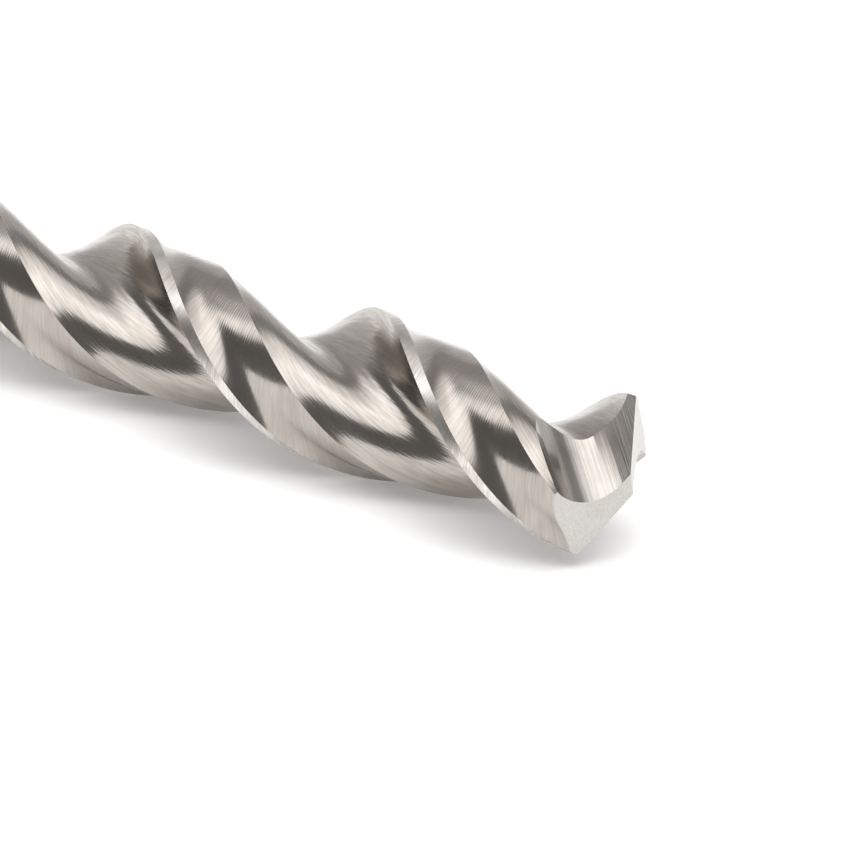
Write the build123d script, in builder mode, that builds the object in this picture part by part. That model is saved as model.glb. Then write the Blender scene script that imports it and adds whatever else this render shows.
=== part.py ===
from math import asin, cos, degrees, radians, sin, sqrt, tan
import os

from build123d import *

# ---------------------------------------------------------------------------
# Twist drill, right-hand cut, wide flute, thinned 135 degree point.
# The drill lies along X with its point toward +X. Its lowest margins and its
# shank touch Z = 0.
# ---------------------------------------------------------------------------

# Sizes of the blank (mm)
drill_diameter = 10.0
shank_diameter = 9.95
overall_length = 103.0
flute_length = 61.0
shank_chamfer = 0.8

# Helix and cross section
helix_pitch = 37.9
web_thickness = 3.35
margin_angle = 8.9
margin_rise_angle = 17.0
margin_rise_slope = 38.0
land_clearance_depth = 0.58
flute_opening_angle = 117.8
flute_floor_angle = 44.0
floor_break = 2.0
heel_foot = (2.79, 35.0)
heel_shoulder = (3.67, 18.3)
heel_roll = 55.0

# Point grind (degrees, and mm for the web left between the lips)
point_angle = 135.0
flank_relief = 19.0
thinned_web = 1.1
lead_roll = 241.9
lip_setback = 5.8

# Round-nosed gash that thins the web (mm, and degrees from the axis)
gash_radius = 3.0
gash_angle = 45.0
gash_depth = 1.95

# Flute run-out
runout_length = 12.0
runout_steps = 6

# Derived values
radius = drill_diameter / 2
land_radius = radius - land_clearance_depth
half_web = web_thickness / 2
half_thinned = thinned_web / 2
lip_slope = 1 / tan(radians(point_angle / 2))
shank_end_x = -overall_length / 2
apex_x = overall_length / 2
lip_reach = sqrt(radius**2 - half_thinned**2)
apex_height = lip_slope * lip_reach - tan(radians(flank_relief)) * half_thinned
corner_x = apex_x - apex_height
flute_end_x = apex_x - flute_length
runout_start_x = flute_end_x + runout_length
twist_per_mm = 360 / helix_pitch
lip_angle = lead_roll - lip_setback - degrees(asin(half_thinned / radius))
cutter_radius = radius * 1.35


def polar(reach, angle):
    """Point of the cross section, from its distance to the axis and its angle."""
    return (reach * cos(radians(angle)), reach * sin(radians(angle)))


def section_plane(x, angle):
    """Plane across the axis at x, turned about the axis, facing the point."""
    across = (0, cos(radians(angle)), sin(radians(angle)))
    return Plane(origin=(x, 0, radius), x_dir=across, z_dir=(1, 0, 0))


def lead_at(x):
    """Angle of the first leading edge at x along the drill."""
    return lead_roll - (corner_x - x) * twist_per_mm


def face_angle(reach):
    """Angle of the flute face that gives a straight lip before thinning."""
    lip_turn = degrees(asin(half_web / reach)) - degrees(asin(half_web / radius))
    return lip_turn - lip_slope * (radius - reach) * twist_per_mm


def flute_outline(lift=0):
    """Cut side of one half section: flute, then cleared land rising to a margin."""
    rise_end = 180 - margin_angle
    lead = polar(radius + lift, 0)
    face = polar(radius * 0.5 + lift, face_angle(radius * 0.5))
    floor = polar(half_web + lift, flute_floor_angle)
    foot, shoulder = [
        polar(reach + lift, flute_opening_angle - short_of_heel)
        for reach, short_of_heel in (heel_foot, heel_shoulder)
    ]
    heel = polar(land_radius + lift, flute_opening_angle)
    mid_land = polar(land_radius + lift, (flute_opening_angle + rise_end) / 2)
    land_end = polar(land_radius + lift, rise_end - margin_rise_angle)
    margin_edge = polar(radius + lift, rise_end)
    face_end = polar(1, flute_floor_angle + 90 - floor_break / 2)
    back_start = polar(1, flute_floor_angle + 90 + floor_break / 2)
    along_heel = polar(1, flute_opening_angle + heel_roll)
    with BuildLine() as outline:
        Spline(lead, face, floor, tangents=(polar(-1, 0), face_end))
        Spline(floor, foot, shoulder, heel, tangents=(back_start, along_heel))
        Spline(
            heel,
            mid_land,
            land_end,
            margin_edge,
            tangents=(polar(1, flute_opening_angle + 90), polar(1, rise_end + 90 - margin_rise_slope)),
        )
    return outline.line


def flute_space(lift):
    """Closed outline of one flute and the cleared land beyond it."""
    rise_end = 180 - margin_angle
    with BuildLine() as outline:
        add(flute_outline(lift))
        Line(polar(radius + lift, rise_end), polar(cutter_radius + lift, rise_end))
        ThreePointArc(
            polar(cutter_radius + lift, rise_end),
            polar(cutter_radius + lift, rise_end / 2),
            polar(cutter_radius + lift, 0),
        )
        Line(polar(cutter_radius + lift, 0), polar(radius + lift, 0))
    return outline.line


# Directions at the point: along the axis, out along the lip, ahead of the lip
forward = Vector(1, 0, 0)
outward = Vector(0, cos(radians(lip_angle)), sin(radians(lip_angle)))
ahead = forward.cross(outward)
corner_centre = Vector(corner_x, 0, radius)
outer_corner = corner_centre + outward * lip_reach + ahead * half_thinned

flank_plane = Plane(
    origin=outer_corner,
    x_dir=outward - forward * lip_slope,
    z_dir=forward + outward * lip_slope - ahead * tan(radians(flank_relief)),
)
gash_plane = Plane(
    origin=corner_centre,
    x_dir=ahead,
    z_dir=outward * sin(radians(gash_angle)) - forward * cos(radians(gash_angle)),
)
drill_axis = Axis((0, 0, radius), (1, 0, 0))


with BuildPart() as fluted_body:
    # Twisted body, from the run-out to past the point
    with BuildLine() as spine:
        Line((runout_start_x, 0, radius), (apex_x + 1, 0, radius))
    with BuildLine() as guide:
        Helix(
            pitch=helix_pitch,
            height=apex_x + 1 - runout_start_x,
            radius=radius,
            center=(runout_start_x, 0, radius),
            direction=(1, 0, 0),
        )
    with BuildSketch(section_plane(runout_start_x, lead_at(runout_start_x))):
        with BuildLine():
            for turn in (0, 180):
                add(Rot(0, 0, turn) * flute_outline())
                ThreePointArc(
                    polar(radius, turn - margin_angle),
                    polar(radius, turn - margin_angle / 2),
                    polar(radius, turn),
                )
        make_face()
    sweep(path=spine.line, binormal=guide.line.edges()[0])

with BuildPart() as runout_cut:
    # The same cut lifting out of the blank toward the shank
    for step in range(runout_steps + 1):
        share = step / runout_steps
        x = runout_start_x - share * runout_length
        with BuildSketch(section_plane(x, lead_at(x))):
            with BuildLine():
                add(flute_space(share**2 * (radius - half_web)))
            make_face()
    loft()

with BuildPart() as gash_cut:
    # Wheel path that leaves a flat face behind the lip and a round floor
    with BuildSketch(gash_plane):
        with Locations((half_thinned + gash_radius, gash_radius - gash_depth)):
            Circle(gash_radius)
            with Locations((0, radius)):
                Rectangle(2 * gash_radius, 2 * radius)
    extrude(amount=2 * radius, both=True)

with BuildPart() as flank_cut:
    # Everything in front of one flank
    with BuildSketch(flank_plane):
        Rectangle(6 * radius, 6 * radius)
    extrude(amount=2 * radius)

with BuildPart() as drill:
    # Plain round shank, then a slight taper up to the full diameter of the flutes
    with BuildSketch(Plane.YZ.offset(shank_end_x)):
        with Locations((0, radius)):
            Circle(shank_diameter / 2)
    extrude(amount=flute_end_x - shank_end_x)
    chamfer(drill.edges().group_by(Axis.X)[0], length=shank_chamfer)
    for x, blank_radius in ((flute_end_x, shank_diameter / 2), (runout_start_x, radius)):
        with BuildSketch(Plane.YZ.offset(x)):
            with Locations((0, radius)):
                Circle(blank_radius)
    loft()
    for turn in (0, 180):
        add(runout_cut.part.rotate(drill_axis, turn), mode=Mode.SUBTRACT)
    # Fluted body, then both flanks and gashes, half a turn apart
    add(fluted_body.part)
    for turn in (0, 180):
        add(flank_cut.part.rotate(drill_axis, turn), mode=Mode.SUBTRACT)
        add(gash_cut.part.rotate(drill_axis, turn), mode=Mode.SUBTRACT)

drill.part.label = "drill"
os.makedirs("parts", exist_ok=True)
export_step(drill.part, "parts/drill.step")
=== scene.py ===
import logging
import math
from collections.abc import Callable
from dataclasses import dataclass, field
from enum import Enum
from functools import cached_property

import bpy
import numpy as np
from mathutils import Matrix, Vector


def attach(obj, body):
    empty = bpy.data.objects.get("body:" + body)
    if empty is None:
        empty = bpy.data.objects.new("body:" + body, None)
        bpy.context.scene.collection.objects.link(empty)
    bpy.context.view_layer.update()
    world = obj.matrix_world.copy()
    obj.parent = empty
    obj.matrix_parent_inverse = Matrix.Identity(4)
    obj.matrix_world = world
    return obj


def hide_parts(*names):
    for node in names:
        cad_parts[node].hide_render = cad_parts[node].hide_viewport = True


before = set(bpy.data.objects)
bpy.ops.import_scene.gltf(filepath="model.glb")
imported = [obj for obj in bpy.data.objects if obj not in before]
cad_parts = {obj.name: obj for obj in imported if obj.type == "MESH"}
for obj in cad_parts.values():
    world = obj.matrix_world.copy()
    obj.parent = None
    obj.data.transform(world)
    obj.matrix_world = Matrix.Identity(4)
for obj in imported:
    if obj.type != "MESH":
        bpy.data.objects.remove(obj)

logging.basicConfig(level=logging.INFO, format="%(name)s: %(message)s")
log = logging.getLogger("drill")

MM = 0.001
TINY = 1e-9
NEAR = 0.001  # mm, close enough to be in the same place
WELD = 0.0002  # mm, points closer than this are one
CUT = 0.0001  # mm, points closer than this to a cut lie on it
ON_RING = 0.01  # mm, points closer than this to a ring belong to it
SAME_WAY = 0.999  # cosine of two directions that count as one
Point = tuple[float, float]
Triple = tuple[float, float, float]
Colour = Triple
Socket = bpy.types.NodeSocket
Tree = bpy.types.NodeTree


class Region(Enum):
    """Ground surfaces of the drill, in the order of their material slots."""

    FLUTE = 0
    LAND = 1
    MARGIN = 2
    SHANK = 3
    FLANK = 4
    NEAR_GASH = 5
    FAR_GASH = 6


# ---------------------------------------------------------------------------
# Small helpers for modelling
# ---------------------------------------------------------------------------


def nothing_selected() -> None:
    """Leaves edit mode and deselects every object."""
    if bpy.context.object and bpy.context.object.mode != "OBJECT":
        bpy.ops.object.mode_set(mode="OBJECT")
    bpy.ops.object.select_all(action="DESELECT")


def take_up(obj: bpy.types.Object) -> None:
    """Makes one object the only selected one, and the active one.

    Args:
        obj: The object to work on next.
    """
    nothing_selected()
    obj.select_set(True)
    bpy.context.view_layer.objects.active = obj


def set_place(obj: bpy.types.Object) -> None:
    """Puts the object's place, turn and size into its mesh."""
    take_up(obj)
    bpy.ops.object.transform_apply(location=True, rotation=True, scale=True)


def pick(
    obj: bpy.types.Object,
    points: Callable[[bpy.types.MeshVertex], bool] | None = None,
    edges: Callable[[bpy.types.MeshEdge], bool] | None = None,
    faces: Callable[[bpy.types.MeshPolygon], bool] | None = None,
) -> None:
    """Opens the object in edit mode with only the wanted points, edges or faces selected.

    Args:
        obj: The object to open.
        points: Tells whether a point is wanted.
        edges: Tells whether an edge is wanted.
        faces: Tells whether a face is wanted.
    """
    take_up(obj)
    mesh = obj.data
    for part in (mesh.edges, mesh.polygons):
        part.foreach_set("select", [False] * len(part))
    for point in mesh.vertices:
        point.select = bool(points) and points(point)
    wanted = [edge for edge in mesh.edges if edges(edge)] if edges else []
    wanted += [face for face in mesh.polygons if faces(face)] if faces else []
    for item in wanted:
        item.select = True
        for i in item.vertices:
            mesh.vertices[i].select = True
    bpy.context.tool_settings.mesh_select_mode = (bool(points), bool(edges), bool(faces))
    bpy.ops.object.mode_set(mode="EDIT")


def polar(reach: float, angle: float) -> Point:
    """Point of a cross section, from its distance to the axis and its angle in degrees."""
    return (reach * math.cos(math.radians(angle)), reach * math.sin(math.radians(angle)))


def smooth_line(points: list[Point], start: Point, end: Point, count: int) -> np.ndarray:
    """Follows a smooth line through a few points.

    Args:
        points: Points the line passes through.
        start: Unit direction at the first point.
        end: Unit direction at the last point.
        count: How many places along the line are wanted.

    Returns:
        The places, one row each, first and last point included.
    """
    through = np.array(points)
    steps = np.linalg.norm(np.diff(through, axis=0), axis=1)
    size = len(points)
    matrix = np.zeros((size, size))
    right = np.zeros((size, 2))
    matrix[0, 0] = matrix[-1, -1] = 1.0
    right[0], right[-1] = start, end
    for i in range(1, size - 1):
        before, after = 1 / steps[i - 1], 1 / steps[i]
        matrix[i, i - 1 : i + 2] = before, 2 * (before + after), after
        rise = (through[i] - through[i - 1]) * before**2 + (through[i + 1] - through[i]) * after**2
        right[i] = 3 * rise
    slopes = np.linalg.solve(matrix, right)
    knots = np.concatenate(([0.0], np.cumsum(steps)))
    found = []
    for at in np.linspace(0, knots[-1], count):
        i = min(int(np.searchsorted(knots, at, side="right")) - 1, size - 2)
        t = (at - knots[i]) / steps[i]
        place = (
            (2 * t**3 - 3 * t**2 + 1) * through[i]
            + (t**3 - 2 * t**2 + t) * steps[i] * slopes[i]
            + (3 * t**2 - 2 * t**3) * through[i + 1]
            + (t**3 - t**2) * steps[i] * slopes[i + 1]
        )
        found.append(place)
    return np.array(found)


# ---------------------------------------------------------------------------
# Small helpers for shader nodes
# ---------------------------------------------------------------------------


def feed(tree: Tree, value: Socket | float | tuple[float, ...], socket: Socket) -> None:
    """Joins a value to a socket, or sets it there if it is a constant."""
    if isinstance(value, Socket):
        tree.links.new(value, socket)
    else:
        socket.default_value = value


def part_of(tree: Tree, source: Socket, axis: str) -> Socket:
    """Takes one of the three numbers of a vector.

    Args:
        tree: The nodes it joins.
        source: Socket that gives the vector.
        axis: X, Y or Z.

    Returns:
        The socket that gives the number.
    """
    parts = tree.nodes.new("ShaderNodeSeparateXYZ")
    tree.links.new(source, parts.inputs[0])
    return parts.outputs[axis]


def along(tree: Tree, source: Socket, way: Vector | Triple) -> Socket:
    """Measures how far a vector goes one way.

    Args:
        tree: The nodes it joins.
        source: Socket that gives the vector.
        way: Direction to measure along.

    Returns:
        The socket that gives the measure.
    """
    measure = tree.nodes.new("ShaderNodeVectorMath")
    measure.operation = "DOT_PRODUCT"
    measure.inputs[1].default_value = way
    tree.links.new(source, measure.inputs[0])
    return measure.outputs["Value"]


# ---------------------------------------------------------------------------
# Finishes
# ---------------------------------------------------------------------------


@dataclass(frozen=True)
class GroundSteel:
    """Bright ground tool steel with the marks that a grinding wheel leaves."""

    name: str
    steel: Colour = (0.585, 0.55, 0.515)
    tint: Colour = (0.50, 0.455, 0.415)
    gloss: Point = (0.13, 0.24)
    mark_depth: float = 0.004
    line_gap: float = 0.0
    line_depth: float = 0.004
    lines_per_turn: int = 0
    line_sway: float = 5.0
    tone_span: Point = (0.75, 1.2)
    gloss_span: Point = (0.3, 0.7)
    marks: Triple = (7.0, 0.35, 0.35)
    streaks: Triple = (0.6, 0.5, 0.5)
    twist_per_mm: float = 0.0
    axis_height: float = 5.0
    directions: tuple[Vector, ...] | None = None

    def material(self) -> bpy.types.Material:
        """Makes the material.

        Returns:
            The finished material, with its marks laid in the drill's own coordinates.
        """
        steel = bpy.data.materials.new(self.name)
        steel.use_nodes = True
        tree = steel.node_tree
        shader = tree.nodes["Principled BSDF"]
        shader.inputs["Metallic"].default_value = 1.0
        place = self._turned(tree)
        fine = self._grain(tree, place, self.marks, 2.0)
        broad = self._grain(tree, place, self.streaks, 3.0)

        tone = tree.nodes.new("ShaderNodeMix")
        tone.data_type = "RGBA"
        tone.inputs["A"].default_value = (*self.tint, 1)
        tone.inputs["B"].default_value = (*self.steel, 1)
        mixed = self._math(tree, "ADD", broad, fine)
        tree.links.new(self._spread(tree, mixed, self.tone_span, (0.0, 1.0)), tone.inputs["Factor"])
        tree.links.new(tone.outputs["Result"], shader.inputs["Base Color"])

        rough = self._spread(tree, fine, self.gloss_span, self.gloss[::-1])
        tree.links.new(rough, shader.inputs["Roughness"])

        height = self._math(tree, "MULTIPLY", fine, self.mark_depth * MM)
        if self.line_gap:
            waves = self._lines(tree, place, broad)
            lines = self._math(tree, "MULTIPLY", waves, self.line_depth / 2 * MM)
            height = self._math(tree, "ADD", height, lines)
        bump = tree.nodes.new("ShaderNodeBump")
        bump.inputs["Distance"].default_value = 1.0
        bump.inputs["Strength"].default_value = 1.0
        tree.links.new(height, bump.inputs["Height"])
        tree.links.new(bump.outputs["Normal"], shader.inputs["Normal"])
        return steel

    def _lines(
        self, tree: Tree, place: Socket, sway: Socket
    ) -> Socket:
        """Feed lines, as even waves across the first direction.

        Args:
            tree: The material's nodes.
            place: Socket that gives the coordinates.
            sway: Socket whose value bends the lines a little.

        Returns:
            The socket that gives the waves, from -1 to 1.
        """
        turns = 2 * math.pi / (self.line_gap * MM)
        phase = self._math(tree, "MULTIPLY", part_of(tree, place, "X"), turns)
        phase = self._math(tree, "ADD", phase, self._math(tree, "MULTIPLY", sway, self.line_sway))
        if self.lines_per_turn:
            level = self._math(tree, "SUBTRACT", part_of(tree, place, "Z"), self.axis_height * MM)
            round_axis = self._math(tree, "ARCTAN2", level, part_of(tree, place, "Y"))
            turned = self._math(tree, "MULTIPLY", round_axis, float(self.lines_per_turn))
            phase = self._math(tree, "ADD", phase, turned)
        return self._math(tree, "SINE", phase)

    @staticmethod
    def _math(
        tree: Tree,
        operation: str,
        first: Socket,
        second: Socket | float = 0.0,
    ) -> Socket:
        """Joins two values, or a value and a number, by one operation.

        Args:
            tree: The material's nodes.
            operation: Name of the operation.
            first: Socket of the first value.
            second: Socket of the second value, or a number.

        Returns:
            The socket that gives the result.
        """
        node = tree.nodes.new("ShaderNodeMath")
        node.operation = operation
        tree.links.new(first, node.inputs[0])
        feed(tree, second, node.inputs[1])
        return node.outputs[0]

    def _turned(self, tree: Tree) -> Socket:
        """Coordinates in mm along the marks' own directions.

        Args:
            tree: The material's nodes.

        Returns:
            The socket that gives the coordinates.
        """
        source = tree.nodes.new("ShaderNodeTexCoord").outputs["Object"]
        if self.twist_per_mm:
            twist = -math.radians(self.twist_per_mm) / MM
            angle = self._math(tree, "MULTIPLY", part_of(tree, source, "X"), twist)
            turn = tree.nodes.new("ShaderNodeVectorRotate")
            turn.rotation_type = "X_AXIS"
            turn.inputs["Center"].default_value = (0, 0, self.axis_height * MM)
            tree.links.new(source, turn.inputs["Vector"])
            tree.links.new(angle, turn.inputs["Angle"])
            source = turn.outputs[0]
        if self.directions:
            join = tree.nodes.new("ShaderNodeCombineXYZ")
            for i, direction in enumerate(self.directions):
                tree.links.new(along(tree, source, direction), join.inputs[i])
            source = join.outputs[0]
        return source

    def _grain(
        self,
        tree: Tree,
        place: Socket,
        per_mm: Triple,
        detail: float,
    ) -> Socket:
        """Stretched noise.

        Args:
            tree: The material's nodes.
            place: Socket that gives the coordinates.
            per_mm: Changes per millimetre in the three directions.
            detail: How many finer layers it has.

        Returns:
            The socket that gives the noise, from 0 to 1.
        """
        stretch = tree.nodes.new("ShaderNodeMapping")
        stretch.inputs["Scale"].default_value = [value / MM for value in per_mm]
        noise = tree.nodes.new("ShaderNodeTexNoise")
        noise.inputs["Scale"].default_value = 1.0
        noise.inputs["Detail"].default_value = detail
        tree.links.new(place, stretch.inputs["Vector"])
        tree.links.new(stretch.outputs[0], noise.inputs["Vector"])
        return noise.outputs["Fac"]

    @staticmethod
    def _spread(
        tree: Tree, source: Socket, span: Point, result: Point
    ) -> Socket:
        """Takes the values of one span evenly to those of another.

        Args:
            tree: The material's nodes.
            source: Socket that gives the values.
            span: Lowest and highest value.
            result: What these two become.

        Returns:
            The socket that gives the new values.
        """
        spread = tree.nodes.new("ShaderNodeMapRange")
        for name, value in zip(("From Min", "From Max", "To Min", "To Max"), (*span, *result)):
            spread.inputs[name].default_value = value
        tree.links.new(source, spread.inputs["Value"])
        return spread.outputs["Result"]


# ---------------------------------------------------------------------------
# The drill
# ---------------------------------------------------------------------------


@dataclass
class FluteForm:
    """Cross section of the fluted part: two flutes, cleared lands and margins (mm, degrees)."""

    radius: float = 5.0
    half_web: float = 1.675
    helix_pitch: float = 37.9
    margin_angle: float = 10.0
    rise_angle: float = 17.0
    rise_slope: float = 38.0
    clearance: float = 0.58
    opening: float = 117.8
    floor_angle: float = 44.0
    foot: Point = (2.79, 35.0)
    shoulder: Point = (3.67, 18.3)
    heel_roll: float = 55.0
    lip_slope: float = 1 / math.tan(math.radians(67.5))
    face_points: int = 26
    back_points: int = 28
    land_points: int = 28
    margin_points: int = 8
    line_steps: int = 200
    land_steps: int = 300
    ridge_share: float = 0.72  # share of the land that a cut lifted clear of it keeps

    @property
    def twist_per_mm(self) -> float:
        """Turn of the flutes along the drill."""
        return 360 / self.helix_pitch

    @property
    def points_per_half(self) -> int:
        """Number of places round one half of the section."""
        return self.face_points + self.back_points + self.land_points + self.margin_points

    def face_angle(self, reach: float) -> float:
        """Angle of the flute face that gives a straight lip."""
        lip = math.asin(self.half_web / reach) - math.asin(self.half_web / self.radius)
        return math.degrees(lip) - self.lip_slope * (self.radius - reach) * self.twist_per_mm

    @cached_property
    def flute(self) -> np.ndarray:
        """Lays out the flute from its leading edge to the heel.

        Returns:
            Rows of reach and angle.
        """
        along_floor = polar(1, self.floor_angle + 90)
        middle = self.radius * 0.5
        floor = polar(self.half_web, self.floor_angle)
        face = smooth_line(
            [polar(self.radius, 0), polar(middle, self.face_angle(middle)), floor],
            (-1, 0),
            along_floor,
            self.line_steps,
        )
        back = smooth_line(
            [floor]
            + [polar(reach, self.opening - short) for reach, short in (self.foot, self.shoulder)]
            + [polar(self.radius - self.clearance, self.opening)],
            along_floor,
            polar(1, self.opening + self.heel_roll),
            self.line_steps,
        )
        return self.as_polar(np.vstack((face, back[1:])))

    @cached_property
    def land(self) -> np.ndarray:
        """Lays out the cleared land from the heel to the margin's trailing edge.

        Returns:
            Rows of reach and angle.
        """
        low = self.radius - self.clearance
        rise_end = 180 - self.margin_angle
        places = smooth_line(
            [
                polar(low, self.opening),
                polar(low, (self.opening + rise_end) / 2),
                polar(low, rise_end - self.rise_angle),
                polar(self.radius, rise_end),
            ],
            polar(1, self.opening + 90),
            polar(1, rise_end + 90 - self.rise_slope),
            self.land_steps,
        )
        return self.as_polar(places)

    @staticmethod
    def as_polar(places: np.ndarray) -> np.ndarray:
        """Turns x, y rows into rows of reach and angle in degrees."""
        return np.column_stack(
            (np.hypot(places[:, 0], places[:, 1]), np.degrees(np.arctan2(places[:, 1], places[:, 0])))
        )

    @staticmethod
    def part_of(line: np.ndarray, first: float, last: float, count: int) -> np.ndarray:
        """Even places along a line.

        Args:
            line: Rows of reach and angle.
            first: Row number, with fraction, where the part starts.
            last: Row number, with fraction, where it ends.
            count: How many places, without the last one.

        Returns:
            Rows of reach and angle.
        """
        at = np.linspace(first, last, count + 1)[:-1]
        rows = np.arange(len(line))
        return np.column_stack([np.interp(at, rows, line[:, i]) for i in (0, 1)])

    def half_section(self, lift: float) -> np.ndarray:
        """Half of the section, with the cut lifted out of the blank by some millimetres.

        Args:
            lift: How far the cutter is lifted.

        Returns:
            Rows of reach and angle, from the leading edge to just before the next one.
        """
        flute, land = self.flute + (lift, 0), self.land + (lift, 0)
        inside = np.nonzero(flute[:, 0] <= self.radius + TINY)[0]
        if len(inside) < 2:
            middle = float(np.argmin(flute[:, 0]))
            first, last = middle - 1.0, middle + 1.0
        else:
            first, last = self._crossing(flute, inside[0], -1), self._crossing(flute, inside[-1], 1)
        bottom = float(np.clip(np.argmin(flute[:, 0]), first + 0.5, last - 0.5))
        below = np.nonzero(land[:, 0] <= self.radius + TINY)[0]
        if len(below) > 1:
            land_last = self._crossing(land, below[-1], 1)
        else:
            land_last = len(land) * self.ridge_share
        parts = [
            self.part_of(flute, first, bottom, self.face_points),
            self.part_of(flute, bottom, last, self.back_points),
        ]
        heel_end = np.interp(last, np.arange(len(flute)), flute[:, 1])
        ridge = self.part_of(land, 0.0, land_last, self.land_points)
        share = np.linspace(0, 1, self.land_points + 1)[:-1]
        ridge[:, 1] += (heel_end - self.opening) * (1 - share)
        edge = np.interp(land_last, np.arange(len(land)), land[:, 1])
        lead = np.interp(first, np.arange(len(flute)), flute[:, 1])
        margin_angles = np.linspace(edge, 180 + lead, self.margin_points + 1)[:-1]
        margin = np.column_stack((np.full(self.margin_points, self.radius), margin_angles))
        section = np.vstack((*parts, ridge, margin))
        section[:, 0] = np.minimum(section[:, 0], self.radius)
        return section

    def _crossing(self, line: np.ndarray, row: int, way: int) -> float:
        """Finds where a line leaves the blank.

        Args:
            line: Rows of reach and angle.
            row: Last row inside the blank.
            way: 1 to look on, -1 to look back.

        Returns:
            Row number, with fraction.
        """
        beyond = row + way
        if beyond < 0 or beyond >= len(line):
            return float(row)
        span = line[beyond, 0] - line[row, 0]
        return row + way * (self.radius - line[row, 0]) / span if span > TINY else float(row)


@dataclass
class PointGrind:
    """Flanks and gashes that make the cutting point (mm, degrees)."""

    radius: float = 5.0
    corner_x: float = 49.631
    point_angle: float = 135.0
    flank_relief: float = 19.0
    half_thinned: float = 0.55
    lip_angle: float = 229.785
    gash_radius: float = 3.0
    gash_angle: float = 45.0
    gash_depth: float = 1.95
    wheel_facets: int = 220
    forward: Vector = field(default_factory=lambda: Vector((1, 0, 0)))

    @property
    def outward(self) -> Vector:
        """Direction out along the lip, across the axis."""
        return Vector((0, *polar(1, self.lip_angle)))

    @property
    def ahead(self) -> Vector:
        """Direction ahead of the lip."""
        return self.forward.cross(self.outward)

    @property
    def corner_centre(self) -> Vector:
        """Point of the axis level with the outer corners."""
        return Vector((self.corner_x, 0, self.radius))

    @property
    def gash_run(self) -> Vector:
        """Direction in which the wheel runs through a gash."""
        lean = math.radians(self.gash_angle)
        return (self.outward * math.sin(lean) - self.forward * math.cos(lean)).normalized()

    @property
    def gash_rise(self) -> Vector:
        """Direction from the floor of a gash out of the drill."""
        return self.gash_run.cross(self.ahead).normalized()

    def half_turn(self) -> Matrix:
        """Half a turn about the drill's axis."""
        centre = Matrix.Translation((0, 0, self.radius * MM))
        return centre @ Matrix.Rotation(math.pi, 4, "X") @ centre.inverted()

    def flank(self) -> tuple[Vector, Vector]:
        """Finds the plane of the first flank.

        Returns:
            A point of it, in metres, and its outward normal.
        """
        reach = math.sqrt(self.radius**2 - self.half_thinned**2)
        slope = 1 / math.tan(math.radians(self.point_angle / 2))
        corner = self.corner_centre + self.outward * reach + self.ahead * self.half_thinned
        up = self.forward + self.outward * slope
        up = (up - self.ahead * math.tan(math.radians(self.flank_relief))).normalized()
        return corner * MM, up

    def gash_wheel(self) -> bpy.types.Object:
        """Makes a round-nosed bar, the path of the gashing wheel.

        Returns:
            The bar, to be taken away from the blank.
        """
        nothing_selected()
        bpy.ops.mesh.primitive_circle_add(
            vertices=self.wheel_facets,
            radius=self.gash_radius * MM,
            fill_type="NOTHING",
            location=(0, 0, -2 * self.radius * MM),
        )
        bar = bpy.context.object
        set_place(bar)
        rise = [vertex.co.y / MM for vertex in bar.data.vertices]
        pick(bar, edges=lambda edge: any(rise[i] > NEAR for i in edge.vertices))
        bpy.ops.mesh.delete(type="EDGE")
        bpy.ops.object.mode_set(mode="OBJECT")
        pick(bar, points=lambda point: abs(point.co.y) < NEAR * MM)
        bpy.ops.mesh.extrude_region_move(TRANSFORM_OT_translate={"value": (0, 2 * self.radius * MM, 0)})
        bpy.ops.mesh.select_all(action="SELECT")
        bpy.ops.mesh.edge_face_add()
        bpy.ops.mesh.extrude_region_move(TRANSFORM_OT_translate={"value": (0, 0, 4 * self.radius * MM)})
        bpy.ops.mesh.select_all(action="SELECT")
        bpy.ops.mesh.normals_make_consistent(inside=False)
        bpy.ops.object.mode_set(mode="OBJECT")
        middle = self.corner_centre + self.ahead * (self.half_thinned + self.gash_radius)
        middle += self.gash_rise * (self.gash_radius - self.gash_depth)
        turn = Matrix((self.ahead, self.gash_rise, self.gash_run)).transposed().to_4x4()
        bar.matrix_world = Matrix.Translation(middle * MM) @ turn
        set_place(bar)
        return bar


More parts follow.
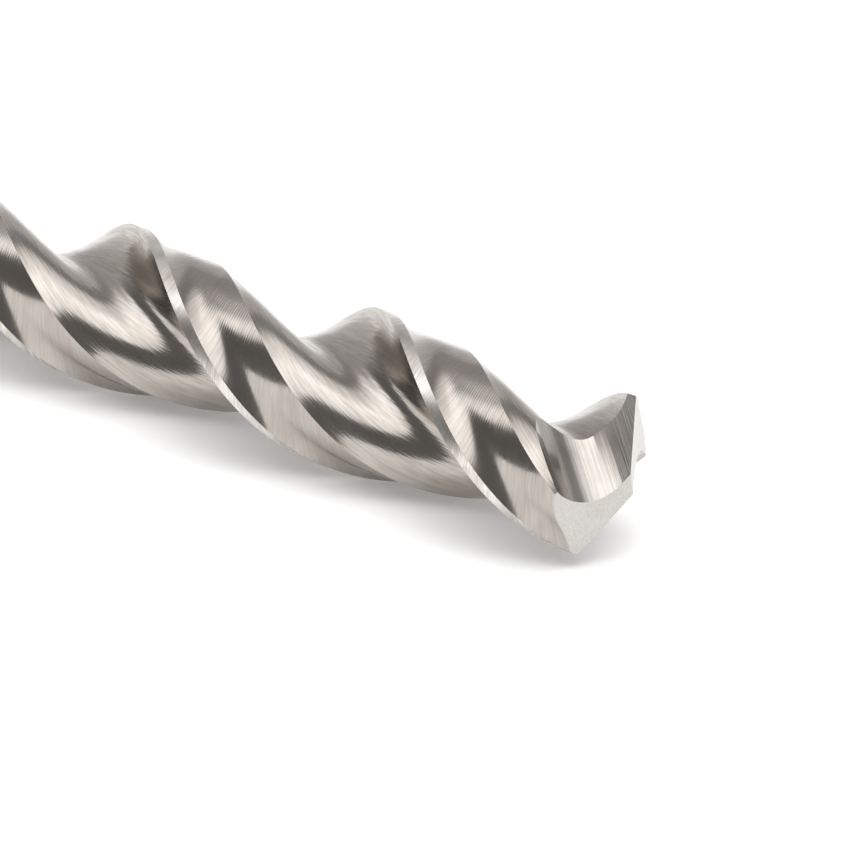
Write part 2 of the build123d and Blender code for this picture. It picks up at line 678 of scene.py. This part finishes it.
@dataclass
class TwistDrill:
    """The whole drill: fluted body, cutting point, run-out and plain shank (mm, degrees)."""

    form: FluteForm = field(default_factory=FluteForm)
    point: PointGrind = field(default_factory=PointGrind)
    length: float = 103.0
    flute_length: float = 61.0
    runout_length: float = 12.0
    shank_diameter: float = 9.95
    shank_chamfer: float = 0.8
    lead_roll: float = 241.9
    shank_step: float = 0.05
    spare_tip: float = 1.0
    gash_room: float = 9.0
    ring_step: float = 0.26
    smooth_below: float = 28.0
    drill: bpy.types.Object | None = None
    lifts: list[float] = field(default_factory=list)

    @property
    def tip_x(self) -> float:
        """Place of the very tip along the drill."""
        return self.length / 2

    @property
    def flute_end_x(self) -> float:
        """Where the flutes have run out."""
        return self.tip_x - self.flute_length

    @property
    def ringed_length(self) -> float:
        """Length of the blank that is divided into rings, with the part past the tip."""
        return self.flute_length + self.spare_tip

    @property
    def rings(self) -> int:
        """Number of rings."""
        return round(self.ringed_length / self.ring_step)

    @property
    def step(self) -> float:
        """Length of one ring."""
        return self.ringed_length / self.rings

    def build(self) -> bpy.types.Object:
        """Models the drill from a round blank.

        Returns:
            The finished drill.
        """
        self._turn_blank()
        self._dress()
        self._grind_flutes()
        self._draw_shank()
        self._grind_point()
        take_up(self.drill)
        bpy.ops.object.shade_smooth_by_angle(angle=math.radians(self.smooth_below))
        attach(self.drill, "root")
        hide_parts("drill")
        log.info("%s: %d faces", self.drill.name, len(self.drill.data.polygons))
        return self.drill

    def _turn_blank(self) -> None:
        """Adds the round blank of the fluted part and divides it into rings."""
        span = self.ringed_length
        nothing_selected()
        bpy.ops.mesh.primitive_cylinder_add(
            vertices=2 * self.form.points_per_half,
            radius=self.form.radius * MM,
            depth=span * MM,
            end_fill_type="NOTHING",
            location=((self.flute_end_x + span / 2) * MM, 0, self.form.radius * MM),
            rotation=(0, math.pi / 2, 0),
        )
        self.drill = bpy.context.object
        self.drill.name = "twist_drill"
        self.drill.data.name = "twist_drill"
        set_place(self.drill)
        ends = [vertex.co.x for vertex in self.drill.data.vertices]
        pick(self.drill, edges=lambda edge: abs(ends[edge.vertices[0]] - ends[edge.vertices[1]]) > MM)
        bpy.ops.mesh.subdivide_edgering(number_cuts=self.rings - 1, interpolation="LINEAR", smoothness=0)
        bpy.ops.object.mode_set(mode="OBJECT")

    def _grind_flutes(self) -> None:
        """Takes each ring of the blank down to the section at its place."""
        mesh = self.drill.data
        round_count = 2 * self.form.points_per_half
        step = self.step
        places = np.empty(len(mesh.vertices) * 3)
        mesh.vertices.foreach_get("co", places)
        places = places.reshape(-1, 3) / MM
        ring = np.rint((places[:, 0] - self.flute_end_x) / step).astype(int)
        turn = np.degrees(np.arctan2(places[:, 2] - self.form.radius, places[:, 1])) % 360
        seat = np.rint(turn / (360 / round_count)).astype(int) % round_count
        sections = []
        for number in range(self.rings + 1):
            x = self.flute_end_x + number * step
            share = max(0.0, 1 - (x - self.flute_end_x) / self.runout_length)
            lift = share**2 * (self.form.radius - self.form.half_web)
            half = self.form.half_section(lift)
            other = half + np.array([0, 180])
            whole = np.vstack((half, other))
            whole[:, 1] += self.lead_roll - (self.point.corner_x - x) * self.form.twist_per_mm
            sections.append(whole)
            self.lifts.append(lift)
        sections = np.array(sections)
        ground = sections[ring, seat]
        angle = np.radians(ground[:, 1])
        places[:, 1] = ground[:, 0] * np.cos(angle)
        places[:, 2] = self.form.radius + ground[:, 0] * np.sin(angle)
        mesh.vertices.foreach_set("co", (places * MM).ravel())
        self._mark_regions(ring, seat)
        mesh.update()

    def _mark_regions(self, ring: np.ndarray, seat: np.ndarray) -> None:
        """Gives each face the slot of the surface it lies on.

        Args:
            ring: Ring number of each vertex.
            seat: Place round its ring of each vertex.
        """
        half = self.form.points_per_half
        flute_end = self.form.face_points + self.form.back_points
        land_end = flute_end + self.form.land_points
        for face in self.drill.data.polygons:
            seats = seat[list(face.vertices)] % half
            first = int(seats.min())
            if seats.max() - first > half / 2:
                first = half - 1
            lift = self.lifts[int(ring[list(face.vertices)].min())]
            if first < flute_end:
                region = Region.FLUTE
            elif lift >= self.form.clearance:
                region = Region.SHANK
            elif first < land_end:
                region = Region.LAND
            else:
                region = Region.MARGIN
            face.material_index = region.value

    @staticmethod
    def _open_ring(obj: bpy.types.Object, x: float) -> None:
        """Opens the object in edit mode with the edges across the drill at x selected.

        Args:
            obj: The drill, or its tip.
            x: Place along the drill.
        """
        nothing_selected()
        places = [vertex.co.x / MM for vertex in obj.data.vertices]
        pick(obj, edges=lambda edge: all(abs(places[i] - x) < ON_RING for i in edge.vertices))

    def _draw_shank(self) -> None:
        """Extrudes the shank from the last ring, with its chamfer, and closes both ends."""
        self._open_ring(self.drill, self.tip_x + self.spare_tip)
        bpy.ops.mesh.edge_face_add()
        self._open_ring(self.drill, self.flute_end_x)
        shank_end = -self.length / 2
        body = self.flute_end_x - shank_end
        slope = self.shank_diameter / (2 * self.form.radius)
        end_ratio = 1 - 2 * self.shank_chamfer / self.shank_diameter
        straight = body - self.shank_chamfer - self.shank_step
        cuts = ((self.shank_step, slope), (straight, 1.0), (self.shank_chamfer, end_ratio))
        for run, ratio in cuts:
            bpy.ops.mesh.extrude_region_move(TRANSFORM_OT_translate={"value": (-run * MM, 0, 0)})
            middle = (0, 0, self.form.radius * MM)
            bpy.ops.transform.resize(value=(1, ratio, ratio), center_override=middle)
        bpy.ops.mesh.edge_face_add()
        bpy.ops.mesh.select_all(action="SELECT")
        bpy.ops.mesh.normals_make_consistent(inside=False)
        bpy.ops.object.mode_set(mode="OBJECT")
        for face in self.drill.data.polygons:
            if face.center.x / MM < self.flute_end_x:
                face.material_index = Region.SHANK.value

    def _grind_point(self) -> None:
        """Grinds both flanks across the whole drill, then both gashes into its last rings."""
        half_turn = self.point.half_turn()
        corner, up = self.point.flank()
        for place, normal in ((corner, up), (half_turn @ corner, half_turn.to_3x3() @ up)):
            take_up(self.drill)
            bpy.ops.object.mode_set(mode="EDIT")
            bpy.ops.mesh.select_all(action="SELECT")
            bpy.ops.mesh.bisect(
                plane_co=place, plane_no=normal, use_fill=True, clear_outer=True, threshold=CUT * MM
            )
            bpy.ops.object.mode_set(mode="OBJECT")
            for face in self.drill.data.polygons:
                level = abs(face.normal.dot(normal)) > SAME_WAY
                if level and abs((face.center - place).dot(normal)) < NEAR * MM:
                    face.material_index = Region.FLANK.value
        tip = self._part_tip()
        for other in (False, True):
            wheel = self.point.gash_wheel()
            if other:
                wheel.matrix_world = half_turn
                set_place(wheel)
            self._take_away(tip, wheel, Region.FAR_GASH if other else Region.NEAR_GASH)
        self._rejoin(tip)
        log.info("point: two flanks and two gashes ground")

    def _tip_start(self) -> float:
        """Place of the ring where the last rings begin, past the reach of the gashes."""
        ring = int((self.point.corner_x - self.gash_room - self.flute_end_x) / self.step)
        return self.flute_end_x + ring * self.step

    def _part_tip(self) -> bpy.types.Object:
        """Parts the last rings from the drill and closes them.

        Returns:
            The parted tip.
        """
        start = self._tip_start()
        nothing_selected()
        pick(self.drill, faces=lambda face: face.center.x / MM > start)
        bpy.ops.mesh.separate(type="SELECTED")
        bpy.ops.object.mode_set(mode="OBJECT")
        tip = next(obj for obj in bpy.context.selected_objects if obj != self.drill)
        self._open_ring(tip, start)
        bpy.ops.mesh.edge_face_add()
        bpy.ops.mesh.select_all(action="SELECT")
        bpy.ops.mesh.normals_make_consistent(inside=False)
        bpy.ops.object.mode_set(mode="OBJECT")
        return tip

    def _rejoin(self, tip: bpy.types.Object) -> None:
        """Opens the tip again and welds it to the drill.

        Args:
            tip: The parted tip.
        """
        start = self._tip_start()

        def on_seam(face: bpy.types.MeshPolygon) -> bool:
            """Tells whether a face closes the seam."""
            return face.normal.x < -SAME_WAY and abs(face.center.x / MM - start) < ON_RING

        pick(tip, faces=on_seam)
        bpy.ops.mesh.delete(type="ONLY_FACE")
        take_up(self.drill)
        tip.select_set(True)
        bpy.ops.object.join()
        pick(self.drill, points=lambda point: abs(point.co.x / MM - start) < NEAR)
        bpy.ops.mesh.remove_doubles(threshold=WELD * MM)
        bpy.ops.object.mode_set(mode="OBJECT")

    def _take_away(self, tip: bpy.types.Object, wheel: bpy.types.Object, region: Region) -> None:
        """Cuts one wheel's path out of the tip and removes the wheel.

        Args:
            tip: Closed end of the drill.
            wheel: Solid to take away.
            region: Surface that the cut leaves.
        """
        for finish in tip.data.materials:
            wheel.data.materials.append(finish)
        for face in wheel.data.polygons:
            face.material_index = region.value
        take_up(tip)
        cut = tip.modifiers.new("grind", "BOOLEAN")
        cut.operation = "DIFFERENCE"
        cut.solver = "EXACT"
        cut.material_mode = "INDEX"
        cut.object = wheel
        bpy.ops.object.modifier_apply(modifier=cut.name)
        bpy.data.objects.remove(wheel)

    def _dress(self) -> None:
        """Gives the blank one slot for each ground surface, with its finish."""
        near = (self.point.ahead, self.point.gash_rise, self.point.gash_run)
        turn = self.point.half_turn().to_3x3()
        far = tuple(turn @ direction for direction in near)
        twist = self.form.twist_per_mm
        finishes = {
            Region.FLUTE: GroundSteel(
                "ground_flute",
                steel=(0.48, 0.445, 0.41),
                tint=(0.37, 0.335, 0.30),
                gloss=(0.14, 0.27),
                marks=(0.8, 6.5, 6.5),
                streaks=(0.05, 0.9, 0.9),
                twist_per_mm=twist,
                mark_depth=0.009,
            ),
            Region.LAND: GroundSteel(
                "ground_land",
                steel=(0.47, 0.435, 0.40),
                tint=(0.40, 0.36, 0.325),
                marks=(8.0, 0.4, 0.4),
                streaks=(0.5, 0.4, 0.4),
                line_gap=0.17,
                line_depth=0.0017,
                lines_per_turn=-15,
            ),
            # The margin's steel colour is painted far paler than the other ground surfaces: a painted
            # sheen that stands in for the highlight its fine grinding scratches spread along the drill.
            Region.MARGIN: GroundSteel(
                "ground_margin_painted_sheen",
                steel=(0.86, 0.83, 0.79),
                gloss=(0.26, 0.38),
                marks=(14.0, 0.6, 0.6),
                mark_depth=0.001,
            ),
            Region.SHANK: GroundSteel(
                "ground_shank",
                gloss=(0.2, 0.3),
                marks=(12.0, 0.5, 0.5),
                mark_depth=0.001,
            ),
            Region.FLANK: GroundSteel(
                "ground_flank",
                steel=(0.55, 0.53, 0.50),
                tint=(0.49, 0.47, 0.44),
                gloss=(0.2, 0.3),
                marks=(12.0, 12.0, 5.0),
                mark_depth=0.0006,
            ),
            Region.NEAR_GASH: self._gash_finish("ground_gash_near", near),
            Region.FAR_GASH: self._gash_finish("ground_gash_far", far),
        }
        for region in Region:
            self.drill.data.materials.append(finishes[region].material())

    @staticmethod
    def _gash_finish(name: str, directions: tuple[Vector, ...]) -> GroundSteel:
        """Finish of one gash, with its marks along the wheel's run.

        Args:
            name: Name of the material.
            directions: Across, out of and along the gash.

        Returns:
            The finish.
        """
        return GroundSteel(
            name,
            steel=(0.50, 0.475, 0.45),
            tint=(0.38, 0.35, 0.32),
            marks=(12.0, 12.0, 0.25),
            mark_depth=0.003,
            directions=directions,
        )


# ---------------------------------------------------------------------------
# Studio
# ---------------------------------------------------------------------------


@dataclass
class Studio:
    """Pale floor that curves up into a backdrop, soft light and the camera (m)."""

    eye: Triple = (0.444252, -0.514661, 0.324343)
    sight: Triple = (-0.55865813, 0.70424749, -0.43810567)
    lens_mm: float = 520.26
    floor_size: float = 8.0
    backdrop_height: float = 3.0
    floor_tone: Colour = (0.88, 0.88, 0.88)
    floor_glow: float = 0.20
    sweep: float = 1.2
    sweep_steps: int = 24
    box_place: Triple = (0.45, 0.35, 1.5)
    box_size: Point = (1.5, 1.5)
    box_power: float = 13
    card_slant: float = -0.1
    card_way: Triple = (0.09, -0.996, 0)
    card_edge: tuple[Point, ...] = ((0.1, 1.0), (0.4, 0.0))
    front_tones: tuple[Point, ...] = ((0.0, 0.20), (0.70, 0.17), (0.77, 1.7), (1.0, 2.2))
    side_tones: tuple[Point, ...] = ((0.0, 0.88), (0.4, 0.62), (0.81, 0.48), (0.89, 1.6), (1.0, 2.2))
    back_tones: tuple[Point, ...] = ((0.4, 1.0), (0.9, 0.74))
    seen_tone: float = 1.1

    def camera(self) -> bpy.types.Object:
        """Adds the camera.

        Returns:
            The camera, which is also the scene's own.
        """
        data = bpy.data.cameras.new("camera")
        data.sensor_width = 36
        data.lens = self.lens_mm
        data.clip_start, data.clip_end = 0.01, 50
        camera = bpy.data.objects.new("camera", data)
        bpy.context.collection.objects.link(camera)
        camera.location = self.eye
        camera.rotation_mode = "QUATERNION"
        camera.rotation_quaternion = Vector(self.sight).to_track_quat("-Z", "Y")
        bpy.context.scene.camera = camera
        return camera

    def backdrop(self) -> bpy.types.Object:
        """Adds the floor, whose far edge sweeps up in a wide curve.

        Returns:
            The floor.
        """
        nothing_selected()
        bpy.ops.mesh.primitive_plane_add(size=self.floor_size, location=(0, 0, 0))
        floor = bpy.context.object
        floor.name = "studio_floor"
        far = self.floor_size / 2
        rows = [vertex.co.y for vertex in floor.data.vertices]
        pick(floor, edges=lambda edge: all(rows[i] > far - 0.01 for i in edge.vertices))
        bpy.ops.mesh.extrude_region_move(TRANSFORM_OT_translate={"value": (0, 0, self.backdrop_height)})
        bpy.ops.object.mode_set(mode="OBJECT")
        bend = floor.modifiers.new("sweep", "BEVEL")
        bend.width, bend.segments, bend.limit_method = self.sweep, self.sweep_steps, "ANGLE"
        bpy.ops.object.modifier_apply(modifier=bend.name)
        bpy.ops.object.shade_smooth()
        paper = bpy.data.materials.new("studio_paper")
        paper.use_nodes = True
        shader = paper.node_tree.nodes["Principled BSDF"]
        shader.inputs["Base Color"].default_value = (*self.floor_tone, 1)
        shader.inputs["Roughness"].default_value = 0.9
        shader.inputs["Specular IOR Level"].default_value = 0.0
        shader.inputs["Emission Color"].default_value = (1, 1, 1, 1)
        shader.inputs["Emission Strength"].default_value = self.floor_glow
        floor.data.materials.append(paper)
        return floor

    def soft_light(
        self, name: str, place: Triple, size: Point, strength: float, aim: Triple = (0.03, 0, 0)
    ) -> bpy.types.Object:
        """Adds a soft box that looks at the drill.

        Args:
            name: Name of the light.
            place: Where it stands.
            size: Width and height.
            strength: Power in watts.
            aim: Point that it looks at.

        Returns:
            The light.
        """
        data = bpy.data.lights.new(name, "AREA")
        data.shape = "RECTANGLE"
        data.size, data.size_y = size
        data.energy = strength
        lamp = bpy.data.objects.new(name, data)
        bpy.context.collection.objects.link(lamp)
        lamp.location = place
        lamp.rotation_mode = "QUATERNION"
        lamp.rotation_quaternion = (Vector(aim) - Vector(place)).to_track_quat("-Z", "Y")
        return lamp

    def room(self) -> None:
        """Lights the room: bright above, dark low in front, pale behind and where the camera looks."""
        world = bpy.data.worlds.new("studio_room")
        bpy.context.scene.world = world
        world.use_nodes = True
        tree = world.node_tree
        tree.nodes.clear()
        way = tree.nodes.new("ShaderNodeTexCoord").outputs["Generated"]
        height = part_of(tree, way, "Z")
        flat = tree.nodes.new("ShaderNodeCombineXYZ")
        for axis in "XY":
            tree.links.new(part_of(tree, way, axis), flat.inputs[axis])
        level = tree.nodes.new("ShaderNodeVectorMath")
        level.operation = "NORMALIZE"
        tree.links.new(flat.outputs[0], level.inputs[0])
        level = level.outputs[0]

        card = tree.nodes.new("ShaderNodeMath")
        tree.links.new(height, card.inputs[0])
        tree.links.new(along(tree, level, (self.card_slant, 0, 0)), card.inputs[1])
        front = self._ramp(tree, card.outputs[0], self.front_tones)
        sides = self._ramp(tree, height, self.side_tones)
        behind = self._ramp(tree, part_of(tree, level, "Y"), self.back_tones)
        sides = self._mixed(tree, sides, behind, 1.0, "MULTIPLY")
        beside = self._ramp(tree, along(tree, level, self.card_way), self.card_edge)
        room = self._mixed(tree, front, sides, beside)

        seen = tree.nodes.new("ShaderNodeLightPath").outputs["Is Camera Ray"]
        white = (self.seen_tone, self.seen_tone, self.seen_tone, 1)
        glow = tree.nodes.new("ShaderNodeBackground")
        tree.links.new(self._mixed(tree, room, white, seen), glow.inputs["Color"])
        out = tree.nodes.new("ShaderNodeOutputWorld")
        tree.links.new(glow.outputs[0], out.inputs["Surface"])
        bpy.context.scene.view_settings.view_transform = "Standard"

    @staticmethod
    def _mixed(
        tree: Tree,
        first: Socket | tuple[float, ...],
        second: Socket | tuple[float, ...],
        share: Socket | float,
        blend: str = "MIX",
    ) -> Socket:
        """Blends two tones.

        Args:
            tree: The nodes it joins.
            first: Socket of the first tone, or the tone.
            second: Socket of the second tone, or the tone.
            share: Share of the second one.
            blend: How they are blended.

        Returns:
            The socket that gives the blend.
        """
        mix = tree.nodes.new("ShaderNodeMix")
        mix.data_type, mix.blend_type = "RGBA", blend
        for value, name in ((share, "Factor"), (first, "A"), (second, "B")):
            feed(tree, value, mix.inputs[name])
        return mix.outputs["Result"]

    @staticmethod
    def _ramp(
        tree: Tree, source: Socket, stops: tuple[Point, ...]
    ) -> Socket:
        """Grey tone that follows a value from 0 to 1.

        Args:
            tree: The nodes it joins.
            source: Socket that gives the value.
            stops: Pairs of value and tone.

        Returns:
            The socket that gives the tone.
        """
        ramp = tree.nodes.new("ShaderNodeValToRGB")
        tones = ramp.color_ramp.elements
        while len(tones) < len(stops):
            tones.new(0.5)
        for tone, (value, _) in zip(tones, stops):
            tone.position = value
        for tone, (_, grey) in zip(tones, stops):
            tone.color = (grey, grey, grey, 1)
        tree.links.new(source, ramp.inputs["Fac"])
        return ramp.outputs["Color"]

    def build(self) -> None:
        """Sets up the floor, the lights and the room."""
        self.backdrop()
        self.room()
        box = self.soft_light("soft_box_above", self.box_place, self.box_size, self.box_power)
        box.visible_glossy = False
        log.info("studio: floor, backdrop and one soft box")


def main() -> None:
    """Builds the scene: the camera, the studio and the drill."""
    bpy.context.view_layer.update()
    studio = Studio()
    studio.camera()
    studio.build()
    TwistDrill().build()


if __name__ == "__main__":
    main()
